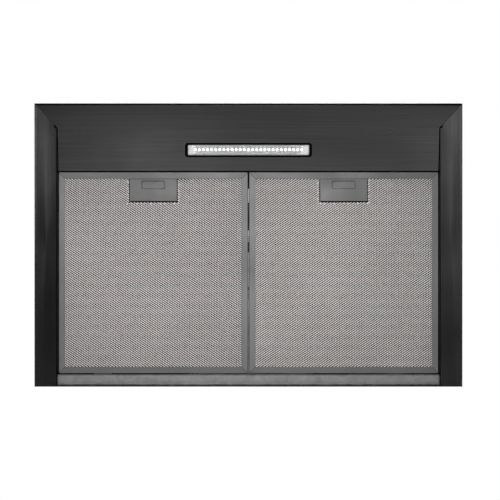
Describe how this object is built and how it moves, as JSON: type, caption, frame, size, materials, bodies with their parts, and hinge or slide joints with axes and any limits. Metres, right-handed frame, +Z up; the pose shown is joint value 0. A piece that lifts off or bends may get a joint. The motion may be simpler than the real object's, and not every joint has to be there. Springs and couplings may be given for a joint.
{
  "type": "under cabinet range hood",
  "caption": "Under-cabinet range hood: black steel canopy, sloped lamp panel, framed mesh grease filters with latches, blower, damper collar and push buttons.",
  "frame": {"origin": "middle of the flat top face that is screwed to the cabinet, at the centre of the screw pattern", "axes": "X along the wall (width), -Y is the front, +Z up"},
  "size_m": [0.759, 0.5026, 0.17],
  "materials": {
    "black_steel": "fine brushed black stainless, satin clear coat",
    "galvanised": "zinc coated sheet, dull",
    "filter_rim": "mill finish aluminium, satin",
    "filter_mesh": "expanded aluminium mesh",
    "latch_metal": "matte grey",
    "spring_steel": "bright wire",
    "black_plastic": "fine moulded texture",
    "clear_lens": "clear moulded cover",
    "lamp_board": "white solder mask",
    "lamp_chip": "small white lamps",
    "zinc_screw": "zinc plated",
    "motor_paint": "satin paint",
    "white_plastic": "moulded",
    "wheel_plastic": "moulded",
    "rubber": "dull",
    "foam": "closed-cell foam",
    "cable_sheath": "soft sheath"
  },
  "bodies": {
    "hood": {"canopy_wrapper": "black_steel", "left_end_panel": "black_steel", "right_end_panel": "black_steel", "back_panel": "black_steel", "light_panel": "black_steel", "rear_filter_rail": "galvanised", "led_bezel": "black_plastic", "led_lens": "clear_lens", "led_tray": "white_plastic", "led_board": "lamp_board", "led_chips": "lamp_chip", "led_driver": "white_plastic", "blower_scroll": "galvanised", "blower_base_plate": "galvanised", "inlet_ring": "black_plastic", "motor_can": "motor_paint", "motor_bracket": "galvanised", "motor_grommets": "rubber", "capacitor": "white_plastic", "capacitor_strap": "galvanised", "duct_collar": "galvanised", "collar_gasket": "foam", "damper_rod": "spring_steel", "wiring_box": "galvanised", "wiring_cover": "galvanised", "cable_bushing": "black_plastic", "motor_cable": "cable_sheath", "lamp_cable": "cable_sheath", "control_bezel": "black_plastic", "switch_block": "black_plastic", "rear_screws": "zinc_screw", "blower_screws": "zinc_screw", "motor_screws": "zinc_screw", "collar_screws": "zinc_screw", "cover_screws": "zinc_screw"},
    "left_filter": {"filter_frame_left": "filter_rim", "filter_mesh_left": "filter_mesh", "latch_plate_left": "latch_metal", "latch_housing_left": "latch_metal", "latch_pin_left": "spring_steel", "latch_spring_left": "spring_steel"},
    "left_paddle": {"latch_paddle_left": "latch_metal"},
    "left_bolt": {"latch_bolt_left": "spring_steel"},
    "right_filter": {"filter_frame_right": "filter_rim", "filter_mesh_right": "filter_mesh", "latch_plate_right": "latch_metal", "latch_housing_right": "latch_metal", "latch_pin_right": "spring_steel", "latch_spring_right": "spring_steel"},
    "right_paddle": {"latch_paddle_right": "latch_metal"},
    "right_bolt": {"latch_bolt_right": "spring_steel"},
    "impeller": {"blower_wheel": "wheel_plastic", "motor_shaft": "spring_steel"},
    "front_damper": {"damper_flap_front": "galvanised"},
    "rear_damper": {"damper_flap_rear": "galvanised"},
    "off_button": {"button_off": "black_plastic"},
    "low_button": {"button_low": "black_plastic"},
    "medium_button": {"button_medium": "black_plastic"},
    "high_button": {"button_high": "black_plastic"},
    "light_button": {"button_light": "black_plastic"}
  },
  "joints": [
    {"name": "left_filter_hinge", "type": "hinge", "parent": "hood", "child": "left_filter", "pos_m": [-0.16975, 0.2285, -0.108], "axis": [1, 0, 0], "range_deg": [0, 70]},
    {"name": "left_paddle_hinge", "type": "hinge", "parent": "left_filter", "child": "left_paddle", "pos_m": [-0.16975, -0.099, -0.1049], "axis": [-1, 0, 0], "range_deg": [0, 16], "stiffness_Nm_per_rad": 0.055, "springref_deg": -8.59},
    {"name": "left_bolt_slide", "type": "slide", "parent": "left_filter", "child": "left_bolt", "axis": [0, 1, 0], "range_m": [0, 0.001], "stiffness_N_per_m": 60, "springref_m": -0.001, "deforming": ["latch_spring_left"]},
    {"name": "right_filter_hinge", "type": "hinge", "parent": "hood", "child": "right_filter", "pos_m": [0.16975, 0.2285, -0.108], "axis": [1, 0, 0], "range_deg": [0, 70]},
    {"name": "right_paddle_hinge", "type": "hinge", "parent": "right_filter", "child": "right_paddle", "pos_m": [0.16975, -0.099, -0.1049], "axis": [-1, 0, 0], "range_deg": [0, 16], "stiffness_Nm_per_rad": 0.055, "springref_deg": -8.59},
    {"name": "right_bolt_slide", "type": "slide", "parent": "right_filter", "child": "right_bolt", "axis": [0, 1, 0], "range_m": [0, 0.001], "stiffness_N_per_m": 60, "springref_m": -0.001, "deforming": ["latch_spring_right"]},
    {"name": "impeller_spin", "type": "hinge", "parent": "hood", "child": "impeller", "pos_m": [0, 0.004, -0.05], "axis": [0, 0, 1], "continuous": true},
    {"name": "front_damper_hinge", "type": "hinge", "parent": "hood", "child": "front_damper", "pos_m": [0, 0.145, 0.014], "axis": [-1, 0, 0], "range_deg": [0, 78]},
    {"name": "rear_damper_hinge", "type": "hinge", "parent": "hood", "child": "rear_damper", "pos_m": [0, 0.145, 0.014], "axis": [1, 0, 0], "range_deg": [0, 78]},
    {"name": "off_button_press", "type": "slide", "parent": "hood", "child": "off_button", "axis": [0, 1, 0], "range_m": [0, 0.003], "stiffness_N_per_m": 500, "springref_m": -0.001},
    {"name": "low_button_press", "type": "slide", "parent": "hood", "child": "low_button", "axis": [0, 1, 0], "range_m": [0, 0.003], "stiffness_N_per_m": 500, "springref_m": -0.001},
    {"name": "medium_button_press", "type": "slide", "parent": "hood", "child": "medium_button", "axis": [0, 1, 0], "range_m": [0, 0.003], "stiffness_N_per_m": 500, "springref_m": -0.001},
    {"name": "high_button_press", "type": "slide", "parent": "hood", "child": "high_button", "axis": [0, 1, 0], "range_m": [0, 0.003], "stiffness_N_per_m": 500, "springref_m": -0.001},
    {"name": "light_button_press", "type": "slide", "parent": "hood", "child": "light_button", "axis": [0, 1, 0], "range_m": [0, 0.003], "stiffness_N_per_m": 500, "springref_m": -0.001}
  ],
  "couplings": [
    {"joint": "left_paddle_hinge", "follows": "left_bolt_slide", "rad_per_m": 277.8},
    {"joint": "right_paddle_hinge", "follows": "right_bolt_slide", "rad_per_m": 277.8}
  ]
}
